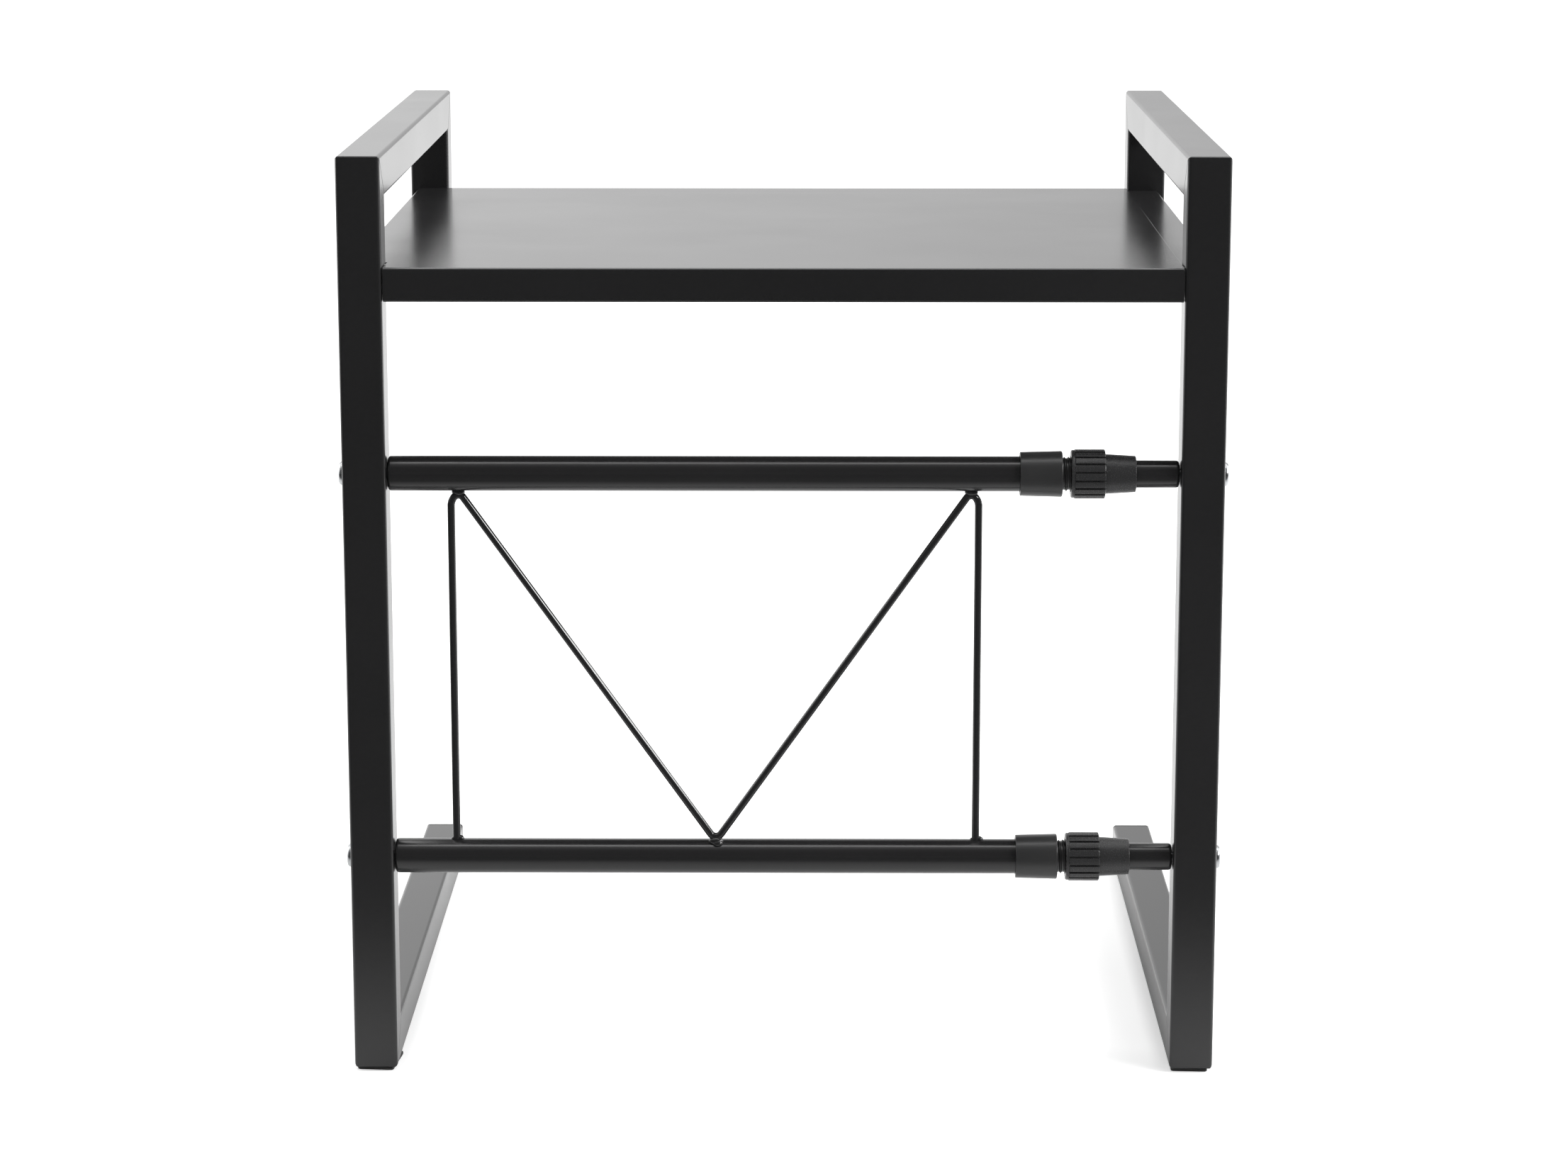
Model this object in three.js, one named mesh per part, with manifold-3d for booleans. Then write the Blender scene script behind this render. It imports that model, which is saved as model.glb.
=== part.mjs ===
// Expandable counter shelf: two C-shaped frames of square tube, a shelf of two nested
// sheet-metal panels, and two telescoping rods with twist locks between the legs.
// Millimetres, +Z up. The origin is on the ground under the middle of the pushed-in shelf.
// The legs and rods stand on the -Y side, and the open side faces +Y.
import * as THREE from 'three';
import { mergeVertices } from 'three/addons/utils/BufferGeometryUtils.js';
import Module from 'manifold-3d';

const wasm = await Module();
wasm.setup();

// Overall sizes
const CLOSED_WIDTH = 400;        // across the legs' outer faces, shelf pushed together
const FRAME_DEPTH = 360;         // near leg face to far post face
const FRAME_HEIGHT = 425;        // runner underside to rail top
const SHELF_DROP = 50;           // rail top down to shelf top
const FIT_GAP = 0.3;             // left between pieces that touch on the real shelf

// Square frame tube, its end caps and foot pads
const TUBE_SIDE = 20;
const TUBE_WALL = 1.2;
const TUBE_INNER_CORNER = 0.6;
const CAP_FLANGE = 1.2;
const CAP_DEPTH = 12;
const CAP_WALL = 2;
const PAD_WIDTH = 17;
const PAD_LENGTH = 25;
const PAD_THICKNESS = 1.5;
const PAD_CORNER = 2;
const PAD_INSET = 2;

// Shelf panels and the bearers that they hook over
const SHEET = 0.8;
const SKIRT = 15.5;              // height of the outer panel's folded edge
const BEND_INSIDE = 0.5;
const RETURN_LIP = 8;
const PANEL_RECESS = 0.5;        // panel face behind the near leg face
const PANEL_END_CLEARANCE = 30;  // inner panel's free end to the left leg, pushed in
const TAB_OVERLAP = 4;
const BEARER_SIDE = 15;
const BEARER_WALL = 1;
const BEARER_INNER_CORNER = 0.5;

// Screws that hold each panel to its bearer
const SCREW_DIAMETER = 4;
const SCREW_HEAD_DIAMETER = 8;
const SCREW_HEAD_HEIGHT = 1.8;
const SCREW_REACH = 9;           // shank length under the head
const SCREW_SPACING = 200;

// Cross recess in every screw and bolt head
const RECESS_SPAN = 4.6;
const RECESS_WIDTH = 1.1;
const RECESS_DEPTH = 1.2;

// Telescoping rods, their threaded end plugs, bolts and glide bushes
const UPPER_ROD_HEIGHT = 280;    // rod axis above the runner underside
const LOWER_ROD_HEIGHT = 100;
const OUTER_ROD_DIAMETER = 16;
const ROD_WALL = 1;
const ROD_ROLL_INSIDE = 0.5;     // inside radius of the rolled-in rod end
const ROD_SLIDE_CLEARANCE = 0.75;
const PLUG_LENGTH = 18;
const BOLT_DIAMETER = 5;
const BOLT_HEAD_DIAMETER = 11;
const BOLT_HEAD_HEIGHT = 2.1;
const BOLT_GRIP = 14;            // bolt length inside the rod
const BUSH_FLANGE = 3;
const BUSH_SPIGOT = 12;
const BUSH_BORE_DIAMETER = 6;
const ROD_END_CLEARANCE = 7;     // glide bush to end plug, pushed in

// Twist lock: collar with a split threaded neck, and the ribbed nut on it
const NOSE_CLEARANCE = 20;       // nut nose to the right leg, pushed in
const COLLAR_LENGTH = 19.2;
const COLLAR_WALL = 1.7;
const COLLAR_FLARE = 0.45;
const COLLAR_ROUND = 0.6;
const COLLAR_SEAT = 16;          // depth of the rod in the collar
const NECK_SHOWING = 3.9;
const NECK_IN_NUT = 9;
const NECK_WALL = 0.7;
const THREAD_DEPTH = 0.6;
const THREAD_PITCH = 2;
const THREAD_LENGTH = 6;
const SLIT_WIDTH = 1.2;
const SLIT_LENGTH = 6;
const NUT_LENGTH = 15.5;
const NUT_WALL = 2.15;
const NUT_CHAMFER = 0.6;
const RIB_COUNT = 18;
const RIB_HEIGHT = 0.9;
const RIB_GROOVE = 1;            // width of the groove between two ribs
const NOSE_LENGTH = 14;
const NOSE_BASE_WALL = 2.55;
const NOSE_TIP_WALL = 1.75;
const NUT_CONE = 4;              // cone inside the nut that squeezes the neck

// Bent brace wire between the two fixed rods
const WIRE_DIAMETER = 3.5;
const WIRE_START_INSET = 28.5;   // left leg to the first upright
const WIRE_END_INSET = 18.4;     // last upright to the lock collar
const WIRE_EASE_INSIDE = 4.75;   // inside radius where an upright starts to lean in
const WIRE_EASE_TURN = 38;       // degrees that it turns there
const WIRE_TOP_INSIDE = 0.85;    // inside radius of the bend under the upper rod
const WIRE_APEX_INSIDE = 1.25;   // inside radius of the bend on the lower rod
const WIRE_APEX_LEAN = 12;       // degrees that the apex sits forward of the rod's top

// How finely round shapes are cut into flats
const ROUND_SIDES = 24;
const SMALL_SIDES = 16;
const WIRE_SIDES = 10;
const CORNER_STEPS = 2;
const ARC_STEPS = 6;
const THREAD_STEPS = 6;          // rings along one turn of the thread
const MERGE_DISTANCE = 1e-4;     // vertices closer than this count as one

// Places worked out from the sizes
const GROUND_CLEARANCE = PAD_THICKNESS + FIT_GAP;
const railTop = GROUND_CLEARANCE + FRAME_HEIGHT;
const nearFace = -FRAME_DEPTH / 2;
const farFace = FRAME_DEPTH / 2;
const tubeHalf = TUBE_SIDE / 2;
const legMiddle = CLOSED_WIDTH / 2 - tubeHalf;
const legInside = CLOSED_WIDTH / 2 - TUBE_SIDE;
const shelfTop = railTop - SHELF_DROP;
const innerTop = shelfTop - SHEET - FIT_GAP;
const rodMiddle = nearFace + tubeHalf;
const outerRodRadius = OUTER_ROD_DIAMETER / 2;
const outerRodBore = outerRodRadius - ROD_WALL;
const innerRodRadius = outerRodBore - ROD_SLIDE_CLEARANCE;
const innerRodBore = innerRodRadius - ROD_WALL;
const rodRoll = ROD_ROLL_INSIDE + ROD_WALL;
const boltHole = BOLT_DIAMETER / 2 + FIT_GAP;
const screwHole = SCREW_DIAMETER / 2 + FIT_GAP;
const screwSpots = [['near', -SCREW_SPACING / 2], ['far', SCREW_SPACING / 2]];
const nutStart = legInside - NOSE_CLEARANCE - NOSE_LENGTH - NUT_LENGTH;
const collarStart = nutStart - NECK_SHOWING - COLLAR_LENGTH;
const outerRodStart = -legInside + FIT_GAP;
const outerRodEnd = collarStart + COLLAR_SEAT - FIT_GAP;
const plugSetback = ROD_WALL + FIT_GAP;
const innerRodEnd = legInside - FIT_GAP;
const innerRodStart = outerRodStart + plugSetback + PLUG_LENGTH + ROD_END_CLEARANCE + BUSH_FLANGE;
const neckBore = innerRodRadius + FIT_GAP;
const neckRoot = neckBore + NECK_WALL;
const nutBore = neckRoot + THREAD_DEPTH + FIT_GAP;

// Finishes
const blackCoat = () => new THREE.MeshStandardMaterial({ color: 0x1d1d1f, roughness: 0.4, metalness: 0.2 });
const blackPlastic = () => new THREE.MeshStandardMaterial({ color: 0x161617, roughness: 0.6, metalness: 0 });
const zincSteel = () => new THREE.MeshStandardMaterial({ color: 0xc2c4c6, roughness: 0.3, metalness: 1 });
const blackRubber = () => new THREE.MeshStandardMaterial({ color: 0x121212, roughness: 0.9, metalness: 0 });

const group = new THREE.Group();

// Adds one named piece; turn holds the mesh's rotation about X, Y and Z
function addPiece(name, geometry, material, place, turn = [0, 0, 0]) {
  const mesh = new THREE.Mesh(geometry, material);
  mesh.name = name;
  mesh.position.set(...place);
  mesh.rotation.set(...turn);
  group.add(mesh);
}

// A closed solid for joining and cutting, from a geometry with its shared vertices merged
function solidOf(geometry) {
  const bare = geometry.clone();
  bare.deleteAttribute('normal');
  bare.deleteAttribute('uv');
  const merged = mergeVertices(bare, MERGE_DISTANCE);
  const corners = merged.index.array;
  const kept = [];
  for (let i = 0; i < corners.length; i += 3) {
    const [a, b, c] = corners.slice(i, i + 3);
    if (a !== b && b !== c && c !== a) {
      kept.push(a, b, c);
    }
  }
  const vertProperties = new Float32Array(merged.attributes.position.array);
  const triVerts = new Uint32Array(kept);
  return new wasm.Manifold(new wasm.Mesh({ numProp: 3, vertProperties, triVerts }));
}

// The geometry of a finished solid
function geometryOf(solid) {
  const mesh = solid.getMesh();
  const geometry = new THREE.BufferGeometry();
  geometry.setAttribute('position', new THREE.BufferAttribute(mesh.vertProperties, 3));
  geometry.setIndex(new THREE.BufferAttribute(mesh.triVerts, 1));
  geometry.computeVertexNormals();
  return geometry;
}

function extrude(shape, depth) {
  return new THREE.ExtrudeGeometry(shape, { depth, bevelEnabled: false, curveSegments: CORNER_STEPS });
}

// Turns a shape drawn in Y and Z, and extruded, so that its length runs along X
function alongX(geometry) {
  const across = new THREE.Vector3(0, 1, 0);
  const up = new THREE.Vector3(0, 0, 1);
  const length = new THREE.Vector3(1, 0, 0);
  return geometry.applyMatrix4(new THREE.Matrix4().makeBasis(across, up, length));
}

function roundAlongX(radius, length, x, y, z) {
  const round = new THREE.CylinderGeometry(radius, radius, length, SMALL_SIDES);
  round.rotateZ(Math.PI / 2);
  round.translate(x, y, z);
  return solidOf(round);
}

function roundedRect(width, height, radius) {
  const x = width / 2 - radius;
  const y = height / 2 - radius;
  const shape = new THREE.Shape();
  shape.absarc(x, y, radius, 0, Math.PI / 2);
  shape.absarc(-x, y, radius, Math.PI / 2, Math.PI);
  shape.absarc(-x, -y, radius, Math.PI, Math.PI * 1.5);
  shape.absarc(x, -y, radius, Math.PI * 1.5, Math.PI * 2);
  shape.closePath();
  return shape;
}

function squareTube(side, wall, innerCorner, length) {
  const outline = roundedRect(side, side, innerCorner + wall);
  outline.holes.push(roundedRect(side - 2 * wall, side - 2 * wall, innerCorner));
  return solidOf(extrude(outline, length));
}

// Points of a round bend: centre, radius, and angles in degrees from start to end
function bendPoints(centreX, centreY, radius, start, end, steps) {
  const points = [];
  for (let i = 0; i <= steps; i += 1) {
    const angle = THREE.MathUtils.degToRad(start + ((end - start) * i) / steps);
    points.push(new THREE.Vector2(centreX + radius * Math.cos(angle), centreY + radius * Math.sin(angle)));
  }
  return points;
}

// A round piece about Y, from profile points given as radius and height, closed on itself
function turned(profile, sides = ROUND_SIDES) {
  return new THREE.LatheGeometry([...profile, profile[0]], sides);
}

const radial = (radius, height) => new THREE.Vector2(radius, height);

// Frame tube along Z with its outer side towards -Y, cut square or at 45 degrees at each end
function frameTube(length, mitreStart, mitreEnd) {
  const reach = TUBE_SIDE;
  const setback = tubeHalf + FIT_GAP * Math.SQRT1_2;
  const startAt = (y) => (mitreStart ? setback + y : -reach);
  const endAt = (y) => (mitreEnd ? length - setback - y : length + reach);
  const keep = new THREE.Shape([
    new THREE.Vector2(-reach, startAt(-reach)),
    new THREE.Vector2(reach, startAt(reach)),
    new THREE.Vector2(reach, endAt(reach)),
    new THREE.Vector2(-reach, endAt(-reach)),
  ]);
  const prism = alongX(extrude(keep, 2 * reach)).translate(-reach, 0, 0);
  return squareTube(TUBE_SIDE, TUBE_WALL, TUBE_INNER_CORNER, length).intersect(solidOf(prism));
}

// Moulded cap for a square tube's open end; the tube ends at height 0 and the cap's flange covers it
function tubeCap() {
  const bore = TUBE_SIDE - 2 * TUBE_WALL;
  const spigot = bore - 2 * FIT_GAP;
  const flange = extrude(roundedRect(TUBE_SIDE, TUBE_SIDE, TUBE_INNER_CORNER + TUBE_WALL), CAP_FLANGE);
  flange.translate(0, 0, FIT_GAP);
  const stem = extrude(roundedRect(spigot, spigot, TUBE_INNER_CORNER), CAP_DEPTH + FIT_GAP + CAP_FLANGE / 2);
  stem.translate(0, 0, -CAP_DEPTH);
  const recess = spigot - 2 * CAP_WALL;
  const hollow = extrude(roundedRect(recess, recess, TUBE_INNER_CORNER), CAP_DEPTH);
  hollow.translate(0, 0, -CAP_DEPTH - CAP_WALL);
  return geometryOf(solidOf(flange).add(solidOf(stem)).subtract(solidOf(hollow)));
}

// Each side frame: leg, runner, rail, short far post, shelf bearer, caps and foot pads
const sides = [
  { name: 'left', sign: -1, bearerTop: shelfTop - SHEET - FIT_GAP },
  { name: 'right', sign: 1, bearerTop: innerTop - SHEET - FIT_GAP },
];
const bearerMiddle = legInside + BEARER_SIDE / 2;
const bearerStart = nearFace + TUBE_SIDE + FIT_GAP;
const bearerLength = FRAME_DEPTH - 2 * TUBE_SIDE - 2 * FIT_GAP;
const tabMiddle = bearerStart + bearerLength / 2;
const cappedEnd = CAP_FLANGE + FIT_GAP;
const layBack = [-Math.PI / 2, 0, 0];
const layBackTurned = [-Math.PI / 2, 0, Math.PI];
const hangDown = [Math.PI, 0, 0];
const postBottom = innerTop - SHEET - FIT_GAP - BEARER_SIDE;

for (const { name, sign, bearerTop } of sides) {
  const x = sign * legMiddle;

  let leg = frameTube(FRAME_HEIGHT, true, true);
  for (const height of [UPPER_ROD_HEIGHT, LOWER_ROD_HEIGHT]) {
    leg = leg.subtract(roundAlongX(boltHole, 2 * TUBE_SIDE, 0, 0, height));
  }
  addPiece(`${name}_leg`, geometryOf(leg), blackCoat(), [x, rodMiddle, GROUND_CLEARANCE]);

  const rail = frameTube(FRAME_DEPTH, true, true);
  const railPlace = [x, nearFace, railTop - tubeHalf];
  addPiece(`${name}_top_rail`, geometryOf(rail), blackCoat(), railPlace, layBack);

  const runner = frameTube(FRAME_DEPTH - cappedEnd, true, false);
  const runnerPlace = [x, nearFace, GROUND_CLEARANCE + tubeHalf];
  addPiece(`${name}_runner`, geometryOf(runner), blackCoat(), runnerPlace, layBackTurned);

  const post = frameTube(railTop - postBottom - cappedEnd, true, false);
  addPiece(`${name}_post`, geometryOf(post), blackCoat(), [x, farFace - tubeHalf, railTop], hangDown);

  let bearer = squareTube(BEARER_SIDE, BEARER_WALL, BEARER_INNER_CORNER, bearerLength);
  for (const [, along] of screwSpots) {
    const wallX = (sign * BEARER_SIDE) / 2;
    bearer = bearer.subtract(roundAlongX(screwHole, BEARER_SIDE, wallX, 0, bearerLength / 2 + along));
  }
  const bearerPlace = [sign * bearerMiddle, bearerStart, bearerTop - BEARER_SIDE / 2];
  addPiece(`${name}_shelf_bearer`, geometryOf(bearer), blackCoat(), bearerPlace, layBack);

  const runnerEnd = [x, farFace - cappedEnd, GROUND_CLEARANCE + tubeHalf];
  addPiece(`${name}_runner_cap`, tubeCap(), blackPlastic(), runnerEnd, layBack);
  const postEnd = [x, farFace - tubeHalf, postBottom + cappedEnd];
  addPiece(`${name}_post_cap`, tubeCap(), blackPlastic(), postEnd, hangDown);

  const padMiddle = FRAME_DEPTH / 2 - PAD_INSET - PAD_LENGTH / 2;
  for (const [end, y] of [['near', -padMiddle], ['far', padMiddle]]) {
    const pad = extrude(roundedRect(PAD_WIDTH, PAD_LENGTH, PAD_CORNER), PAD_THICKNESS);
    addPiece(`${name}_${end}_foot_pad`, pad, blackRubber(), [x, y, 0]);
  }
}

// Folded channel section of a shelf panel, drawn in Y and Z
function channelSection(near, far, top, bottom) {
  const bendOutside = BEND_INSIDE + SHEET;
  const corners = [
    [near + bendOutside, bottom + bendOutside, 270, 180],
    [near + bendOutside, top - bendOutside, 180, 90],
    [far - bendOutside, top - bendOutside, 90, 0],
    [far - bendOutside, bottom + bendOutside, 0, -90],
  ];
  const bend = (radius) => ([y, z, from, to]) => bendPoints(y, z, radius, from, to, CORNER_STEPS);
  return new THREE.Shape([
    new THREE.Vector2(near + RETURN_LIP, bottom),
    ...corners.flatMap(bend(bendOutside)),
    new THREE.Vector2(far - RETURN_LIP, bottom),
    new THREE.Vector2(far - RETURN_LIP, bottom + SHEET),
    ...corners.flatMap(bend(BEND_INSIDE)).reverse(),
    new THREE.Vector2(near + RETURN_LIP, bottom + SHEET),
  ]);
}

// End tab that runs out between leg and post and folds down over the bearer's outer side
const tabReach = BEARER_SIDE + FIT_GAP + SHEET;

function endTab(sign, near, far, top) {
  const bendOutside = BEND_INSIDE + SHEET;
  const bendX = tabReach - bendOutside;
  const bendZ = top - bendOutside;
  const section = new THREE.Shape([
    new THREE.Vector2(-TAB_OVERLAP, top - SHEET),
    ...bendPoints(bendX, bendZ, BEND_INSIDE, 90, 0, CORNER_STEPS),
    new THREE.Vector2(tabReach - SHEET, top - SKIRT),
    new THREE.Vector2(tabReach, top - SKIRT),
    ...bendPoints(bendX, bendZ, bendOutside, 0, 90, CORNER_STEPS),
    new THREE.Vector2(-TAB_OVERLAP, top),
  ]);
  const tab = extrude(section, far - near).translate(legInside, 0, (near - far) / 2);
  tab.rotateX(Math.PI / 2);
  if (sign < 0) {
    tab.rotateZ(Math.PI);
  }
  return solidOf(tab.translate(0, (near + far) / 2, 0));
}

// Panel with its channel from one X to another, and its end tab hooked over one side's bearer
function shelfPanel({ sign, bearerTop }, section, from, to, far, top) {
  const channel = solidOf(alongX(extrude(section, to - from)).translate(from, 0, 0));
  let panel = channel.add(endTab(sign, bearerStart, far, top));
  for (const [, along] of screwSpots) {
    const flangeX = sign * (legInside + tabReach);
    const holeZ = bearerTop - BEARER_SIDE / 2;
    panel = panel.subtract(roundAlongX(screwHole, BEARER_SIDE, flangeX, tabMiddle + along, holeZ));
  }
  return geometryOf(panel);
}

// The outer panel hooks over the left bearer, and the inner one slides inside it from the right
const panelNear = nearFace + PANEL_RECESS;
const panelFar = farFace - TUBE_SIDE - FIT_GAP;
const panelBottom = shelfTop - SKIRT;
const nest = SHEET + FIT_GAP;
const outerSection = channelSection(panelNear, panelFar, shelfTop, panelBottom);
const innerSection = channelSection(panelNear + nest, panelFar - nest, innerTop, panelBottom + nest);
const panelEnd = legInside - FIT_GAP;
const innerPanelStart = -legInside + PANEL_END_CLEARANCE;
const [leftSide, rightSide] = sides;
const outerPanel = shelfPanel(leftSide, outerSection, -panelEnd, panelEnd, panelFar, shelfTop);
const innerPanel = shelfPanel(rightSide, innerSection, innerPanelStart, panelEnd, panelFar - nest, innerTop);
addPiece('outer_shelf_panel', outerPanel, blackCoat(), [0, 0, 0]);
addPiece('inner_shelf_panel', innerPanel, blackCoat(), [0, 0, 0]);

// Pan-head fastener along Y with a cross recess; its head rests on height 0 and its shank points down
function panHead(diameter, headDiameter, headHeight, length) {
  const headRadius = headDiameter / 2;
  const rim = headHeight / 3;
  const crown = bendPoints(headRadius - rim * 2, rim, rim * 2, 0, 90, CORNER_STEPS);
  const profile = [
    radial(0, -length),
    radial(diameter / 2, -length),
    radial(diameter / 2, 0),
    radial(headRadius, 0),
    ...crown,
    radial(0, headHeight),
  ];
  const body = solidOf(new THREE.LatheGeometry(profile, SMALL_SIDES));
  const slot = new THREE.BoxGeometry(RECESS_SPAN, 2 * RECESS_DEPTH, RECESS_WIDTH).translate(0, headHeight, 0);
  const cross = solidOf(slot).add(solidOf(slot.clone().rotateY(Math.PI / 2)));
  return geometryOf(body.subtract(cross));
}

for (const { name, sign, bearerTop } of sides) {
  for (const [end, along] of screwSpots) {
    const screw = panHead(SCREW_DIAMETER, SCREW_HEAD_DIAMETER, SCREW_HEAD_HEIGHT, SCREW_REACH);
    const headSeat = sign * (legInside + tabReach + FIT_GAP);
    const place = [headSeat, tabMiddle + along, bearerTop - BEARER_SIDE / 2];
    addPiece(`${name}_${end}_shelf_screw`, screw, zincSteel(), place, [0, 0, (-sign * Math.PI) / 2]);
  }
}

// Rod tube along Y from 0, with the end at 0 rolled inwards
function rodTube(radius, length) {
  const bore = radius - ROD_WALL;
  const rollCentre = radius - rodRoll;
  return turned([
    ...bendPoints(rollCentre, rodRoll, rodRoll, -90, 0, CORNER_STEPS),
    radial(radius, length),
    radial(bore, length),
    ...bendPoints(rollCentre, rodRoll, ROD_ROLL_INSIDE, 0, -90, CORNER_STEPS),
  ]);
}

// Threaded plug inside a rod's rolled end, which the bolt through the leg pulls on
function rodPlug(rodBore) {
  const radius = rodBore - FIT_GAP;
  return turned([
    radial(boltHole, 0),
    radial(radius, 0),
    radial(radius, PLUG_LENGTH),
    radial(boltHole, PLUG_LENGTH),
  ], SMALL_SIDES);
}

// Bush on the sliding rod's inner end, which runs in the fixed rod's bore
function glideBush() {
  const bore = BUSH_BORE_DIAMETER / 2;
  const running = outerRodBore - FIT_GAP;
  const spigot = innerRodBore - FIT_GAP;
  return turned([
    radial(bore, 0),
    radial(running, 0),
    radial(running, BUSH_FLANGE - FIT_GAP),
    radial(spigot, BUSH_FLANGE - FIT_GAP),
    radial(spigot, BUSH_FLANGE + BUSH_SPIGOT),
    radial(bore, BUSH_FLANGE + BUSH_SPIGOT),
  ], SMALL_SIDES);
}

// Lock collar: a flared sleeve over the rod's end, then a neck with a helical thread and four slits
function lockCollar() {
  const seatBore = outerRodRadius + FIT_GAP;
  const startRadius = seatBore + COLLAR_WALL;
  const endRadius = startRadius + COLLAR_FLARE;
  const neckEnd = COLLAR_LENGTH + NECK_SHOWING + NECK_IN_NUT;
  const threadEnd = COLLAR_LENGTH + THREAD_LENGTH;
  const rings = Math.round((THREAD_LENGTH / THREAD_PITCH) * THREAD_STEPS);
  const neck = [];
  for (let i = 0; i <= rings; i += 1) {
    neck.push(radial(neckRoot, COLLAR_LENGTH + (THREAD_LENGTH * i) / rings));
  }
  const body = turned([
    radial(seatBore, 0),
    ...bendPoints(startRadius - COLLAR_ROUND, COLLAR_ROUND, COLLAR_ROUND, -90, 0, CORNER_STEPS),
    ...bendPoints(endRadius - COLLAR_ROUND, COLLAR_LENGTH - COLLAR_ROUND, COLLAR_ROUND, 0, 90, CORNER_STEPS),
    ...neck,
    radial(neckRoot, neckEnd),
    radial(neckBore, neckEnd),
    radial(neckBore, COLLAR_SEAT),
    radial(seatBore, COLLAR_SEAT),
  ]);
  const spots = body.attributes.position;
  for (let i = 0; i < spots.count; i += 1) {
    const height = spots.getY(i);
    const radius = Math.hypot(spots.getX(i), spots.getZ(i));
    const onThread = Math.abs(radius - neckRoot) < FIT_GAP / 10;
    if (onThread && height > COLLAR_LENGTH && height < threadEnd) {
      const turns = Math.atan2(spots.getX(i), spots.getZ(i)) / (2 * Math.PI);
      const wave = 0.5 + 0.5 * Math.cos(2 * Math.PI * (height / THREAD_PITCH - turns));
      const fromStart = (height - COLLAR_LENGTH) / (THREAD_PITCH / 4);
      const toEnd = (threadEnd - height) / THREAD_PITCH;
      const runOut = Math.min(1, fromStart, toEnd);
      const scale = 1 + (THREAD_DEPTH * wave * runOut) / radius;
      spots.setX(i, spots.getX(i) * scale);
      spots.setZ(i, spots.getZ(i) * scale);
    }
  }
  const slit = new THREE.BoxGeometry(4 * neckRoot, 2 * SLIT_LENGTH, SLIT_WIDTH).translate(0, neckEnd, 0);
  const slits = solidOf(slit).add(solidOf(slit.clone().rotateY(Math.PI / 2)));
  return geometryOf(solidOf(body).subtract(slits));
}

// Outline of the ribbed nut: broad ribs with narrow grooves between them
function ribOutline(root, crest) {
  const points = [];
  for (let i = 0; i < RIB_COUNT; i += 1) {
    const middle = (2 * Math.PI * i) / RIB_COUNT;
    const halfGroove = RIB_GROOVE / 2 / crest;
    const halfPitch = Math.PI / RIB_COUNT;
    const land = halfPitch - halfGroove;
    const foot = halfPitch - halfGroove / 2;
    for (const [angle, radius] of [[-foot, root], [-land, crest], [0, crest], [land, crest], [foot, root]]) {
      points.push(new THREE.Vector2(radius * Math.cos(middle + angle), radius * Math.sin(middle + angle)));
    }
  }
  return new THREE.Shape(points);
}

// Lock nut: ribbed grip, tapered nose, and a bore whose cone squeezes the collar's neck
function lockNut() {
  const root = nutBore + NUT_WALL;
  const crest = root + RIB_HEIGHT;
  const cavity = NECK_IN_NUT + FIT_GAP;
  const coneEnd = cavity + NUT_CONE;
  const end = NUT_LENGTH + NOSE_LENGTH;
  const grip = solidOf(extrude(ribOutline(root, crest), NUT_LENGTH).rotateX(-Math.PI / 2));
  const envelope = solidOf(new THREE.LatheGeometry([
    radial(0, 0),
    radial(crest - NUT_CHAMFER, 0),
    radial(crest + NUT_CHAMFER, 2 * NUT_CHAMFER),
    radial(crest + NUT_CHAMFER, NUT_LENGTH - 2 * NUT_CHAMFER),
    radial(crest - NUT_CHAMFER, NUT_LENGTH),
    radial(0, NUT_LENGTH),
  ], 2 * RIB_COUNT));
  const nose = solidOf(new THREE.LatheGeometry([
    radial(0, NUT_LENGTH / 2),
    radial(neckBore + NOSE_BASE_WALL, NUT_LENGTH / 2),
    radial(neckBore + NOSE_BASE_WALL, NUT_LENGTH),
    radial(neckBore + NOSE_TIP_WALL, end),
    radial(0, end),
  ], ROUND_SIDES));
  const bore = solidOf(new THREE.LatheGeometry([
    radial(0, -NUT_CHAMFER),
    radial(nutBore, -NUT_CHAMFER),
    radial(nutBore, cavity),
    radial(neckBore, coneEnd),
    radial(neckBore, end + NUT_CHAMFER),
    radial(0, end + NUT_CHAMFER),
  ], ROUND_SIDES));
  return geometryOf(grip.intersect(envelope).add(nose).subtract(bore));
}

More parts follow.
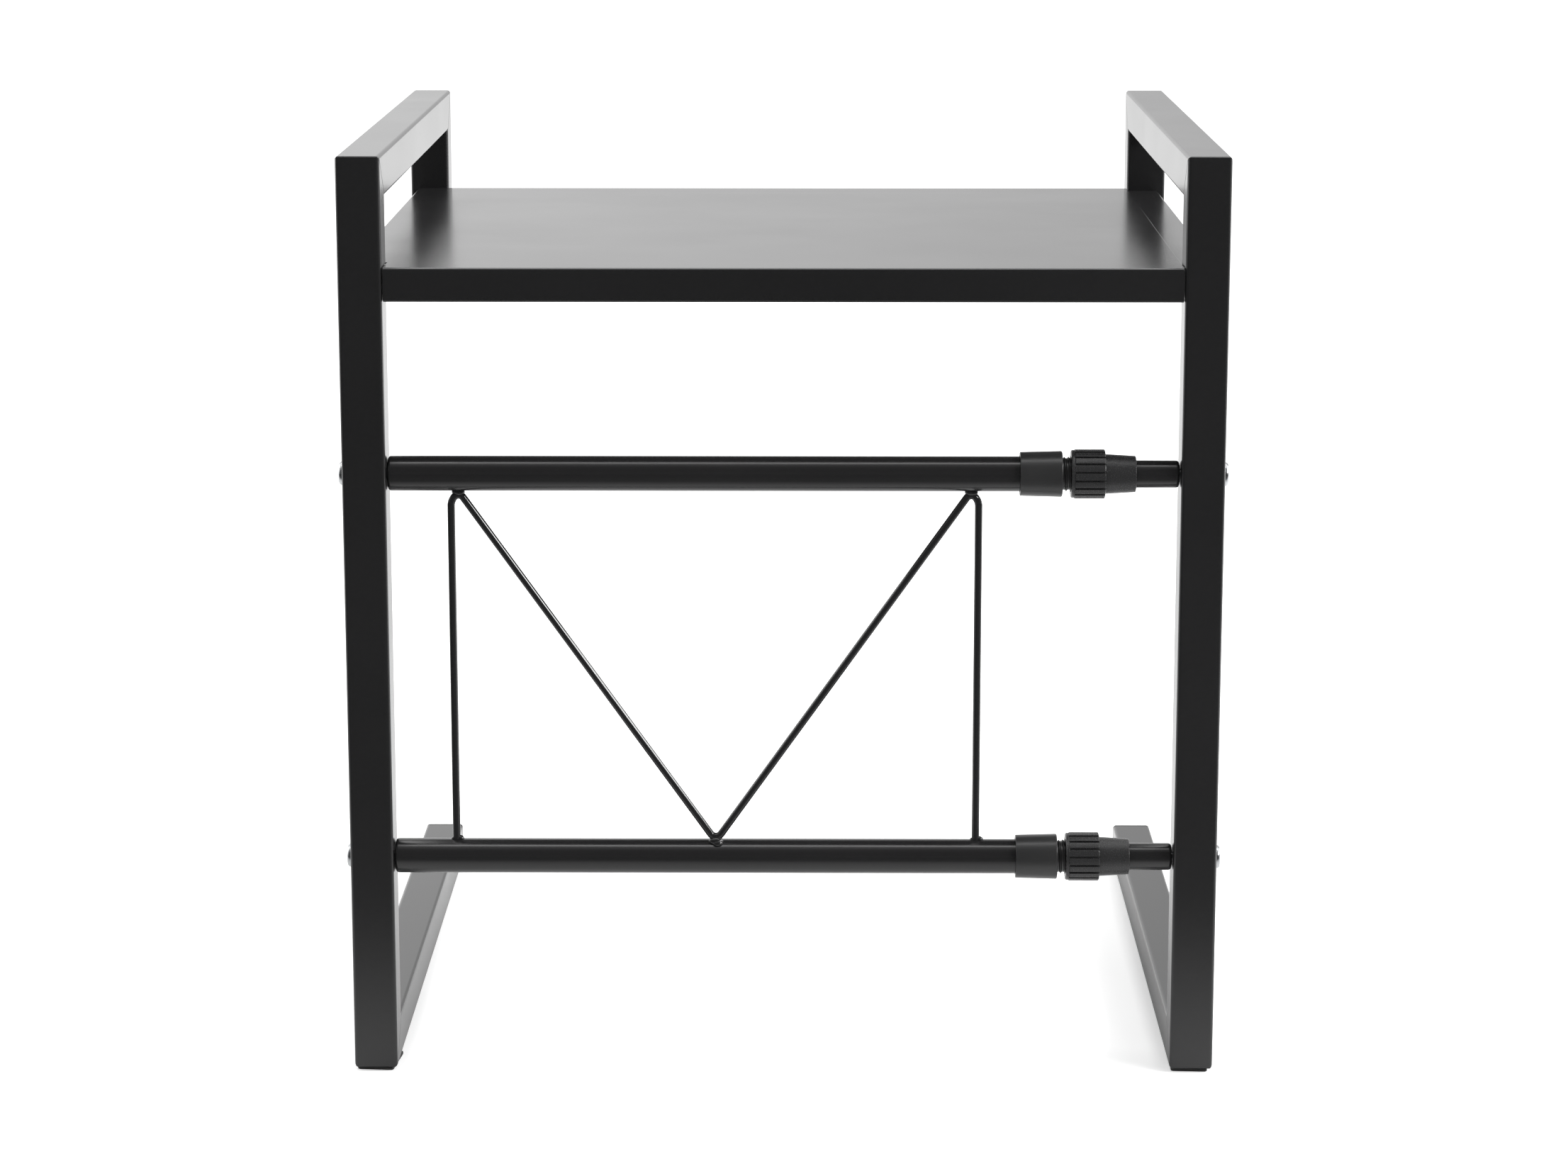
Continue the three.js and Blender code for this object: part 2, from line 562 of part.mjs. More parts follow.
// Each rod, from the fixed left tube to the sliding right one
const towardsRight = [0, 0, -Math.PI / 2];
const towardsLeft = [0, 0, Math.PI / 2];
for (const [name, height] of [['upper', UPPER_ROD_HEIGHT], ['lower', LOWER_ROD_HEIGHT]]) {
  const at = (x) => [x, rodMiddle, GROUND_CLEARANCE + height];
  const outerRod = rodTube(outerRodRadius, outerRodEnd - outerRodStart);
  const innerRod = rodTube(innerRodRadius, innerRodEnd - innerRodStart);
  addPiece(`${name}_outer_rod`, outerRod, blackCoat(), at(outerRodStart), towardsRight);
  addPiece(`${name}_inner_rod`, innerRod, blackCoat(), at(innerRodEnd), towardsLeft);

  const leftPlugAt = at(outerRodStart + plugSetback);
  const rightPlugAt = at(innerRodEnd - plugSetback);
  addPiece(`${name}_left_rod_plug`, rodPlug(outerRodBore), zincSteel(), leftPlugAt, towardsRight);
  addPiece(`${name}_right_rod_plug`, rodPlug(innerRodBore), zincSteel(), rightPlugAt, towardsLeft);
  addPiece(`${name}_glide_bush`, glideBush(), blackPlastic(), at(innerRodStart - BUSH_FLANGE), towardsRight);

  const boltReach = TUBE_SIDE + 2 * FIT_GAP + BOLT_GRIP;
  const headSeat = CLOSED_WIDTH / 2 + FIT_GAP;
  const bolt = () => panHead(BOLT_DIAMETER, BOLT_HEAD_DIAMETER, BOLT_HEAD_HEIGHT, boltReach);
  addPiece(`${name}_left_rod_bolt`, bolt(), zincSteel(), at(-headSeat), towardsLeft);
  addPiece(`${name}_right_rod_bolt`, bolt(), zincSteel(), at(headSeat), towardsRight);

  addPiece(`${name}_lock_collar`, lockCollar(), blackPlastic(), at(collarStart), towardsRight);
  addPiece(`${name}_lock_nut`, lockNut(), blackPlastic(), at(nutStart), towardsRight);
}

// Path through given points, with one ring of the sweep at each point
class BentPath extends THREE.Curve {
  constructor(points) {
    super();
    this.points = points;
  }

  getPointAt(share) {
    return this.points[Math.round(share * (this.points.length - 1))].clone();
  }

  getTangentAt(share) {
    const here = Math.round(share * (this.points.length - 1));
    const last = this.points[Math.max(here - 1, 0)];
    const middle = this.points[here];
    const next = this.points[Math.min(here + 1, this.points.length - 1)];
    const arriving = middle.clone().sub(last).normalize();
    const leaving = next.clone().sub(middle).normalize();
    return arriving.add(leaving).normalize();
  }
}

// Brace wire: up from the lower rod, leaning in and round a tight bend under the upper one, down
// to an apex welded on top of the lower rod, and back up and down again in mirror image
function braceWire() {
  const wireRadius = WIRE_DIAMETER / 2;
  const easeBend = WIRE_EASE_INSIDE + wireRadius;
  const topBend = WIRE_TOP_INSIDE + wireRadius;
  const apexBend = WIRE_APEX_INSIDE + wireRadius;
  const contact = outerRodRadius + wireRadius + FIT_GAP;
  const lean = THREE.MathUtils.degToRad(WIRE_APEX_LEAN);
  const easeTurn = THREE.MathUtils.degToRad(WIRE_EASE_TURN);
  const upperAxis = GROUND_CLEARANCE + UPPER_ROD_HEIGHT;
  const lowerAxis = GROUND_CLEARANCE + LOWER_ROD_HEIGHT;
  const firstUpright = -legInside + WIRE_START_INSET;
  const lastUpright = collarStart - WIRE_END_INSET;
  const apexX = (firstUpright + lastUpright) / 2;
  const apexY = rodMiddle - contact * Math.sin(lean);
  const apexCentreZ = lowerAxis + contact * Math.cos(lean) + apexBend;
  const easeCentreX = firstUpright + easeBend;
  const topCentreX = easeCentreX - (easeBend - topBend) * Math.cos(easeTurn);
  const topCentreZ = upperAxis - contact - topBend;
  const easeCentreZ = topCentreZ - (easeBend - topBend) * Math.sin(easeTurn);
  const footZ = lowerAxis + outerRodRadius + FIT_GAP;

  // The slanted stretch touches the top and apex bends, which gives its angle from upright
  const run = apexX - topCentreX;
  const fall = topCentreZ - apexCentreZ;
  const touch = Math.acos((topBend + apexBend) / Math.hypot(run, fall));
  const slant = THREE.MathUtils.radToDeg(touch - Math.atan2(fall, run));

  const easeEnd = 180 - WIRE_EASE_TURN;
  const easePoints = bendPoints(easeCentreX, easeCentreZ, easeBend, 180, easeEnd, CORNER_STEPS);
  const topPoints = bendPoints(topCentreX, topCentreZ, topBend, easeEnd, slant, ARC_STEPS);
  const apexPoints = bendPoints(apexX, apexCentreZ, apexBend, 180 + slant, 360 - slant, ARC_STEPS);
  const upright = [new THREE.Vector2(firstUpright, footZ), ...easePoints, ...topPoints.slice(1)];
  const firstHalf = upright.map((p) => new THREE.Vector3(p.x, rodMiddle, p.y));
  const mirrored = firstHalf.map((p) => new THREE.Vector3(2 * apexX - p.x, p.y, p.z)).reverse();
  const apex = apexPoints.map((p) => new THREE.Vector3(p.x, apexY, p.y));
  const points = [...firstHalf, ...apex, ...mirrored];

  const section = new THREE.Shape().absarc(0, 0, wireRadius, 0, 2 * Math.PI);
  return new THREE.ExtrudeGeometry(section, {
    steps: points.length - 1,
    curveSegments: WIRE_SIDES / 2,
    extrudePath: new BentPath(points),
  });
}
addPiece('brace_wire', braceWire(), blackCoat(), [0, 0, 0]);

export default group;
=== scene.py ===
import math

import bmesh
import bpy
from mathutils import Matrix, Vector, noise


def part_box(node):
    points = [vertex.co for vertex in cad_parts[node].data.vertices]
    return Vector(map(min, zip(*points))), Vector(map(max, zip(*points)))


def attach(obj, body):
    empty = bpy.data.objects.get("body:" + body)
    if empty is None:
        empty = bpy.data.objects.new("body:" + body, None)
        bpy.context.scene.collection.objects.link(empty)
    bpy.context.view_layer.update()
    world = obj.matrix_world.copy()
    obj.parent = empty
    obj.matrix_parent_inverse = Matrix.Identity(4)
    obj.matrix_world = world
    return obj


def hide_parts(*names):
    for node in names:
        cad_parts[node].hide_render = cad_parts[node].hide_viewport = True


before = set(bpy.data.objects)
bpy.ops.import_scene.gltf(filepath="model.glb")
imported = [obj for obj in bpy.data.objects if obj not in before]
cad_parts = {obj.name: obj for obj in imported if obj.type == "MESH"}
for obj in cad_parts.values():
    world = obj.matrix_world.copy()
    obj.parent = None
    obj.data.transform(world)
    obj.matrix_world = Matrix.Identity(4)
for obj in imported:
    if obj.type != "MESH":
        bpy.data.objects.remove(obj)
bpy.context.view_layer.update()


# Side frames: on each side a leg, a top rail, a floor runner and a short hanging post of square
# steel tube. The tubes are cut at 45 degrees, welded into a C, ground flush and powder coated.
MM = 0.001
BACK = Vector((0, 1, 0))
UP = Vector((0, 0, 1))
SIDES = (("left", "fixed_side"), ("right", "sliding_side"))
TUBE_SIDE = 20 * MM
TUBE_CORNER = 1.8 * MM
TUBE_CORNER_STEPS = 5
TUBE_WALL = 1.2 * MM
WELD_GROOVE = 0.28 * MM
MITRE_GAP = 0.09 * MM
GRIND_RADIUS = 1.1 * MM
GRIND_STEPS = 3
SOFT_STEPS = 2
SHADED_SHARP = math.radians(50)
COAT_COLOUR = (0.0115, 0.0115, 0.0119, 1)
COAT_COLOUR_THIN = (0.0155, 0.0155, 0.0159, 1)
COAT_SATIN = 0.17
COAT_CLOUDS = 14
COAT_CLOUD_ROUGHNESS = 0.05
COAT_PEEL = 620
COAT_PEEL_DEPTH = 0.003 * MM
COAT_GRIT = 2600
COAT_GRIT_ROUGHNESS = 0.03
COAT_GRIT_SHARE = 0.35
COAT_IOR = 1.52
MIX_FACTOR, MIX_FIRST, MIX_SECOND, MIX_RESULT = 0, 6, 7, 2


class Shade:
    """A socket in a node tree; sums and products of it add Math nodes to the tree."""

    def __init__(self, tree, socket=None):
        self.tree = tree
        self.socket = socket

    def node(self, kind, settings, inputs, output=0):
        made = self.tree.nodes.new(kind)
        for name, value in settings.items():
            setattr(made, name, value)
        for name, value in inputs.items():
            if isinstance(value, Shade):
                self.tree.links.new(value.socket, made.inputs[name])
            else:
                made.inputs[name].default_value = value
        return Shade(self.tree, made.outputs[output]) if made.outputs else None

    def maths(self, operation, first, second):
        return self.node("ShaderNodeMath", {"operation": operation}, {0: first, 1: second})

    def __add__(self, other):
        return self.maths("ADD", self, other)

    def __sub__(self, other):
        return self.maths("SUBTRACT", self, other)

    def __rsub__(self, other):
        return self.maths("SUBTRACT", other, self)

    def __mul__(self, other):
        return self.maths("MULTIPLY", self, other)

    __radd__ = __add__
    __rmul__ = __mul__


def new_finish(name):
    """A bare material, with the shade that its nodes are made from."""
    finish = bpy.data.materials.new(name)
    finish.use_nodes = True
    finish.node_tree.nodes.clear()
    return finish, Shade(finish.node_tree)


def grain(shade, scale, detail=2.0):
    """Noise over the piece, about 0 to 1, with grains a little smaller than 1 / scale metres."""
    place = shade.node("ShaderNodeTexCoord", {}, {}, "Object")
    inputs = {"Vector": place, "Scale": scale, "Detail": detail}
    return shade.node("ShaderNodeTexNoise", {}, inputs)


def two_tone(shade, mask, first, second):
    """The first colour where the mask is 0 and the second where it is 1."""
    inputs = {MIX_FACTOR: mask, MIX_FIRST: first, MIX_SECOND: second}
    return shade.node("ShaderNodeMix", {"data_type": "RGBA"}, inputs, MIX_RESULT)


def relief(shade, height, depth):
    """Fine bumps; depth is how far, in metres, a height of 1 stands out."""
    return shade.node("ShaderNodeBump", {}, {"Height": height, "Strength": 1.0, "Distance": depth})


def lay_on(shade, **surface):
    """The finish's surface; names are the shader's own, with spaces as underscores."""
    inputs = {name.replace("_", " "): value for name, value in surface.items()}
    made = shade.node("ShaderNodeBsdfPrincipled", {}, inputs)
    shade.node("ShaderNodeOutputMaterial", {}, {"Surface": made})


def coat_finish(name, sheen):
    """Black powder coat with a slight orange peel; sheen is its roughness where it is glossiest."""
    finish, shade = new_finish(name)
    cloud = grain(shade, COAT_CLOUDS)
    peel = grain(shade, COAT_PEEL, detail=1.0)
    grit = grain(shade, COAT_GRIT, detail=1.0)
    lay_on(
        shade,
        Base_Color=two_tone(shade, cloud, COAT_COLOUR, COAT_COLOUR_THIN),
        Roughness=sheen + COAT_CLOUD_ROUGHNESS * cloud + COAT_GRIT_ROUGHNESS * grit,
        Normal=relief(shade, peel + COAT_GRIT_SHARE * grit, COAT_PEEL_DEPTH),
        IOR=COAT_IOR,
    )
    return finish


black_coat = coat_finish("black_coat", COAT_SATIN)


def add_piece(name, bm, finish, body, slot, *nodes):
    """Turns a shaped mesh into a piece that rides on a body and stands for its solids."""
    for face in bm.faces:
        face.smooth = True
    mesh = bpy.data.meshes.new(name)
    bm.to_mesh(mesh)
    bm.free()
    mesh.set_sharp_from_angle(angle=SHADED_SHARP)
    mesh.materials.append(finish)
    piece = bpy.data.objects.new(name, mesh)
    bpy.context.collection.objects.link(piece)
    shading = piece.modifiers.new("flat_faces_stay_flat", "WEIGHTED_NORMAL")
    shading.keep_sharp = True
    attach(piece, body)
    if nodes:
        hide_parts(*nodes)
    return piece


def all_of(bm):
    return bm.verts[:] + bm.edges[:] + bm.faces[:]


def edges_in(made):
    return [e for e in made if isinstance(e, bmesh.types.BMEdge)]


def verts_in(made):
    return [v for v in made if isinstance(v, bmesh.types.BMVert)]


def round_edges(bm, edges, radius, segments):
    bmesh.ops.bevel(
        bm, geom=edges, offset=radius, affect="EDGES", segments=segments, profile=0.5, material=-1
    )


def soften(bm, radius, angle=40):
    """Rounds every edge that is sharper than the angle."""
    limit = math.radians(angle)
    sharp = [e for e in bm.edges if e.is_manifold and e.calc_face_angle() > limit]
    round_edges(bm, sharp, radius, SOFT_STEPS)


def square_tube(side, corner, wall, start, end):
    """A double-walled square tube along a line, a little longer than the line at both ends."""
    along = end - start
    bm = bmesh.new()
    bmesh.ops.create_cube(bm, size=1)
    bmesh.ops.scale(bm, vec=(side, side, along.length + 2 * side), verts=bm.verts)
    ends = [f for f in bm.faces if abs(f.normal.z) > 0.5]
    bmesh.ops.delete(bm, geom=ends, context="FACES_ONLY")
    corners = [e for e in bm.edges if abs((e.verts[0].co - e.verts[1].co).z) > side]
    round_edges(bm, corners, corner, TUBE_CORNER_STEPS)
    bmesh.ops.recalc_face_normals(bm, faces=bm.faces)
    bmesh.ops.solidify(bm, geom=bm.faces[:], thickness=wall)
    turn = UP.rotation_difference(along).to_matrix().to_4x4()
    place = Matrix.Translation((start + end) / 2)
    bmesh.ops.transform(bm, matrix=place @ turn, verts=bm.verts)
    return bm


def cut_off(bm, place, outwards):
    """Cuts a mesh off past a plane and returns the edges of the cut."""
    cut = bmesh.ops.bisect_plane(
        bm, geom=all_of(bm), plane_co=place, plane_no=outwards, clear_outer=True
    )
    return edges_in(cut["geom_cut"])


def cut_tube(bm, place, outwards):
    """Cuts a tube off past a plane and closes the cut between its two walls."""
    bmesh.ops.bridge_loops(bm, edges=cut_off(bm, place, outwards))


def grind_tip(bm, corner, first, second):
    """Grinds a mitred end round from its outer face towards the face of the tube that it meets."""
    middle = corner - (first + second) * GRIND_RADIUS
    for step in range(1, GRIND_STEPS + 1):
        angle = math.pi / 4 * step / GRIND_STEPS
        outwards = first * math.cos(angle) + second * math.sin(angle)
        rim = cut_off(bm, middle + outwards * GRIND_RADIUS, outwards)
        bmesh.ops.contextual_create(bm, geom=rim)


for side, body in SIDES:
    leg_low, leg_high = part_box(f"{side}_leg")
    rail_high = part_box(f"{side}_top_rail")[1]
    runner_low, runner_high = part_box(f"{side}_runner")
    post_low, post_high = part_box(f"{side}_post")
    x = (leg_low.x + leg_high.x) / 2
    half = TUBE_SIDE / 2
    foot = Vector((x, leg_low.y + half, runner_low.z + half))
    knee = Vector((x, leg_low.y + half, rail_high.z - half))
    shoulder = Vector((x, post_high.y - half, rail_high.z - half))
    post_end = Vector((x, post_high.y - half, post_low.z))
    runner_end = Vector((x, runner_high.y, runner_low.z + half))
    for part, start, end, inwards, mitred in (
        ("leg", foot, knee, BACK, True),
        ("top_rail", knee, shoulder, -UP, True),
        ("post", shoulder, post_end, -BACK, False),
        ("runner", foot, runner_end, UP, False),
    ):
        along = (end - start).normalized()
        tube = square_tube(TUBE_SIDE, TUBE_CORNER, TUBE_WALL, start, end)
        cut_tube(tube, start + along * MITRE_GAP, inwards - along)
        cut_tube(tube, end - along * MITRE_GAP, inwards + along if mitred else along)
        soften(tube, WELD_GROOVE)
        grind_tip(tube, start - (inwards + along) * half, -inwards, -along)
        if mitred:
            grind_tip(tube, end - (inwards - along) * half, -inwards, along)
        add_piece(f"{side}_{part}_tube", tube, black_coat, body, "black_coat", f"{side}_{part}")


# End caps: black plastic plugs pressed into the open ends of the runners and posts. Each has a
# flange as wide as the tube with a rounded rim, and a stem inside the tube.
CAP_FLANGE = 1.2 * MM
CAP_RIM = 0.3 * MM
CAP_STEP = 1.5 * MM
CAP_DEPTH = 12 * MM
PLATE_CORNER_STEPS = 5
RIM_STEPS = 3
SAME_PLACE = 1e-7
PLASTIC_COLOUR = (0.019, 0.019, 0.0195, 1)
PLASTIC_COLOUR_WORN = (0.027, 0.027, 0.0275, 1)
PLASTIC_ROUGHNESS = 0.25
PLASTIC_CLOUDS = 60
PLASTIC_CLOUD_ROUGHNESS = 0.08
PLASTIC_GRAIN = 1700
PLASTIC_GRAIN_ROUGHNESS = 0.05
PLASTIC_GRAIN_DEPTH = 0.02 * MM
PLASTIC_IOR = 1.49

black_plastic, shade = new_finish("black_plastic")
cloud = grain(shade, PLASTIC_CLOUDS)
mould = grain(shade, PLASTIC_GRAIN)
lay_on(
    shade,
    Base_Color=two_tone(shade, cloud, PLASTIC_COLOUR, PLASTIC_COLOUR_WORN),
    Roughness=PLASTIC_ROUGHNESS + PLASTIC_CLOUD_ROUGHNESS * cloud + PLASTIC_GRAIN_ROUGHNESS * mould,
    Normal=relief(shade, mould, PLASTIC_GRAIN_DEPTH),
    IOR=PLASTIC_IOR,
)


def plate(width, length, thickness, corner):
    """A flat plate on height 0 with its upright edges rounded."""
    bm = bmesh.new()
    bmesh.ops.create_cube(bm, size=1)
    bmesh.ops.scale(bm, vec=(width, length, thickness), verts=bm.verts)
    bmesh.ops.translate(bm, vec=(0, 0, thickness / 2), verts=bm.verts)
    upright = [e for e in bm.edges if abs(e.verts[0].co.z - e.verts[1].co.z) > thickness / 2]
    round_edges(bm, upright, corner, PLATE_CORNER_STEPS)
    return bm


def rim_at(bm, height):
    return [e for e in bm.edges if all(abs(v.co.z - height) < SAME_PLACE for v in e.verts)]


for side, body in SIDES:
    for part, outwards in (("runner_cap", BACK), ("post_cap", -UP)):
        low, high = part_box(f"{side}_{part}")
        reach = abs((high - low).dot(outwards)) / 2
        seat = (low + high) / 2 + outwards * (reach - CAP_FLANGE)
        cap = plate(TUBE_SIDE, TUBE_SIDE, CAP_FLANGE, TUBE_CORNER)
        round_edges(cap, rim_at(cap, CAP_FLANGE), CAP_RIM, RIM_STEPS)
        under = min(cap.faces, key=lambda f: f.calc_center_median().z)
        bmesh.ops.inset_region(cap, faces=[under], thickness=CAP_STEP)
        stem = bmesh.ops.extrude_face_region(cap, geom=[under])
        bmesh.ops.delete(cap, geom=[under], context="FACES_ONLY")
        bmesh.ops.translate(cap, vec=(0, 0, -CAP_DEPTH), verts=verts_in(stem["geom"]))
        turn = UP.rotation_difference(outwards).to_matrix().to_4x4()
        bmesh.ops.transform(cap, matrix=Matrix.Translation(seat) @ turn, verts=cap.verts)
        bmesh.ops.recalc_face_normals(cap, faces=cap.faces)
        node = f"{side}_{part}"
        add_piece(f"{node}_plug", cap, black_plastic, body, "black_plastic", node)


# Foot pads: four thin rubber rectangles stuck under the ends of the runners, with rounded
# corners and a slightly rounded rim. Three of them were stuck on a little crooked.
PAD_CORNER = 1.5 * MM
PAD_RIM = 0.35 * MM
PAD_ASIDE = {"left_near": 0.55 * MM, "right_near": 0.05 * MM, "right_far": 0.3 * MM}
PAD_TURN = {"left_near": -5.5, "right_near": -3.5, "right_far": 1.0}
RUBBER_COLOUR = (0.016, 0.016, 0.016, 1)
RUBBER_COLOUR_DUSTY = (0.034, 0.034, 0.033, 1)
RUBBER_ROUGHNESS = 0.72
RUBBER_DUST = 240
RUBBER_DUST_ROUGHNESS = 0.15
RUBBER_GRAIN = 1500
RUBBER_GRAIN_DEPTH = 0.05 * MM

black_rubber, shade = new_finish("black_rubber")
dust = grain(shade, RUBBER_DUST, detail=4.0)
lay_on(
    shade,
    Base_Color=two_tone(shade, dust, RUBBER_COLOUR, RUBBER_COLOUR_DUSTY),
    Roughness=RUBBER_ROUGHNESS + RUBBER_DUST_ROUGHNESS * dust,
    Normal=relief(shade, grain(shade, RUBBER_GRAIN), RUBBER_GRAIN_DEPTH),
)

for side, body in SIDES:
    for end in ("near", "far"):
        node = f"{side}_{end}_foot_pad"
        low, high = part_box(node)
        size = high - low
        pad = plate(size.x, size.y, size.z, PAD_CORNER)
        round_edges(pad, rim_at(pad, 0) + rim_at(pad, size.z), PAD_RIM, RIM_STEPS)
        aside = PAD_ASIDE.get(f"{side}_{end}", 0)
        turn = math.radians(PAD_TURN.get(f"{side}_{end}", 0))
        place = Matrix.Translation(((low.x + high.x) / 2 + aside, (low.y + high.y) / 2, low.z))
        bmesh.ops.transform(pad, matrix=place @ Matrix.Rotation(turn, 4, "Z"), verts=pad.verts)
        add_piece(f"{side}_{end}_rubber_foot", pad, black_rubber, body, "black_rubber", node)


# Shelf bearers: on each side a smaller square steel tube from leg to post, welded at both ends and
# coated with the frame. The panel's end hooks over it, so little of it shows.
BEARER_CORNER = 1.5 * MM
BEARER_WALL = 1 * MM

for side, body in SIDES:
    node = f"{side}_shelf_bearer"
    low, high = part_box(node)
    middle = (low + high) / 2
    start = Vector((middle.x, low.y, middle.z))
    end = Vector((middle.x, high.y, middle.z))
    bearer = square_tube(high.z - low.z, BEARER_CORNER, BEARER_WALL, start, end)
    cut_tube(bearer, start, -BACK)
    cut_tube(bearer, end, BACK)
    soften(bearer, WELD_GROOVE)
    add_piece(f"{side}_bearer_tube", bearer, black_coat, body, "black_coat", node)


# Shelf panels: two sheet-steel channels, the right one sliding inside the left one. Each has its
# near and far edges folded down and in, a tab at one end folded down over that side's bearer, and a
# small plate welded in to close its corner at the leg.
SHEET = 0.8 * MM
SHEET_EDGE = 0.36 * MM
SHEET_EDGE_ANGLE = 60
FOLD_RADIUS = 1.3 * MM
FOLD_STEPS = 6
RETURN_LIP = 8 * MM


def pull_edge(bm, edges, offset):
    """Extrudes a row of edges by an offset and returns the new row."""
    made = bmesh.ops.extrude_edge_only(bm, edges=edges)["geom"]
    moved = verts_in(made)
    bmesh.ops.translate(bm, vec=offset, verts=moved)
    return [e for e in edges_in(made) if all(v in moved for v in e.verts)]


def folded_panel(low, high, skirt, free_x, leg_x, tab_x, tab_y):
    """A sheet folded along its near and far edges, with a tab at the end beside the leg."""
    bm = bmesh.new()
    rows = [
        [bm.verts.new((x, y, high.z)) for x in (free_x, leg_x)] for y in (low.y, tab_y, high.y)
    ]
    for near, far in zip(rows, rows[1:]):
        bm.faces.new((near[0], near[1], far[1], far[0]))
    folds = []
    for row, inwards in ((rows[0], BACK), (rows[2], -BACK)):
        top_fold = bm.edges.get(row)
        bottom_fold = pull_edge(bm, [top_fold], -skirt * UP)
        pull_edge(bm, bottom_fold, RETURN_LIP * inwards)
        folds += [top_fold, *bottom_fold]
    tab_root = bm.edges.get((rows[1][1], rows[2][1]))
    tab_fold = pull_edge(bm, [tab_root], Vector((tab_x - leg_x, 0, 0)))
    pull_edge(bm, tab_fold, -skirt * UP)
    round_edges(bm, folds + tab_fold, FOLD_RADIUS, FOLD_STEPS)
    bmesh.ops.recalc_face_normals(bm, faces=bm.faces)
    top = max(bm.faces, key=lambda f: f.calc_area())
    if top.normal.z < 0:
        bmesh.ops.reverse_faces(bm, faces=bm.faces)
    bmesh.ops.solidify(bm, geom=bm.faces[:], thickness=SHEET)
    soften(bm, SHEET_EDGE, SHEET_EDGE_ANGLE)
    closing = Vector((SHEET, tab_y - low.y - 2 * SHEET, skirt - 2 * SHEET))
    closing_x = leg_x - math.copysign(SHEET / 2, leg_x)
    middle = Vector((closing_x, (tab_y + low.y) / 2, high.z - skirt / 2))
    bmesh.ops.create_cube(bm, size=1, matrix=Matrix.LocRotScale(middle, None, closing))
    return bm


outer_low, outer_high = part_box("outer_shelf_panel")
inner_low, inner_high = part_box("inner_shelf_panel")
skirt = outer_high.z - outer_low.z
nest = outer_high.z - inner_high.z
end_x = outer_high.x
tab_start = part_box("left_shelf_bearer")[0].y
sheet = folded_panel(outer_low, outer_high, skirt, end_x, -end_x, outer_low.x, tab_start)
add_piece("outer_shelf_sheet", sheet, black_coat, "fixed_side", "black_coat", "outer_shelf_panel")
sheet = folded_panel(
    inner_low, inner_high, skirt - 2 * nest, inner_low.x, end_x, inner_high.x, tab_start
)
add_piece("inner_shelf_sheet", sheet, black_coat, "sliding_side", "black_coat", "inner_shelf_panel")


# Shelf screws and rod bolts: zinc-plated pan heads with a cross recess, made by cold heading.
# The screws hold each panel to its bearer, and the bolts pull the rod ends against the legs.
SCREW_HEAD_HEIGHT = 1.8 * MM
SCREW_SHANK = 2 * MM
BOLT_HEAD_HEIGHT = 2.1 * MM
BOLT_SHANK = 2.5 * MM
HEAD_DOME = 0.3 * MM
HEAD_ROUND_SHARE = 0.62
HEAD_FOOT_SHARE = 0.1
HEAD_STEPS = 4
HEAD_CELLS = 6
RECESS_WIDTH = 1.1 * MM
RECESS_SPAN = 4.6 * MM
RECESS_DEPTH = 1.2 * MM
RECESS_TAPER = 0.72
CROSS_TURNS = iter((12, 47, 31, 5, 22, 61, 38, 8))
OUTWARDS = {"left": -1, "right": 1}
ZINC_COLOUR = (0.60, 0.61, 0.62, 1)
ZINC_COLOUR_DULL = (0.40, 0.41, 0.42, 1)
ZINC_ROUGHNESS = 0.13
ZINC_CLOUDS = 420
ZINC_CLOUD_ROUGHNESS = 0.16
ZINC_SCRATCHES = 3000
ZINC_SCRATCH_DEPTH = 0.012 * MM

zinc_steel, shade = new_finish("zinc_steel")
cloud = grain(shade, ZINC_CLOUDS, detail=3.0)
lay_on(
    shade,
    Base_Color=two_tone(shade, cloud, ZINC_COLOUR, ZINC_COLOUR_DULL),
    Metallic=1.0,
    Roughness=ZINC_ROUGHNESS + ZINC_CLOUD_ROUGHNESS * cloud,
    Normal=relief(shade, grain(shade, ZINC_SCRATCHES), ZINC_SCRATCH_DEPTH),
)


def scale_round(bm, verts, factor, drop):
    """Scales verts about the Z axis and lowers them."""
    bmesh.ops.scale(bm, vec=(factor, factor, 1), verts=verts)
    bmesh.ops.translate(bm, vec=(0, 0, -drop), verts=verts)


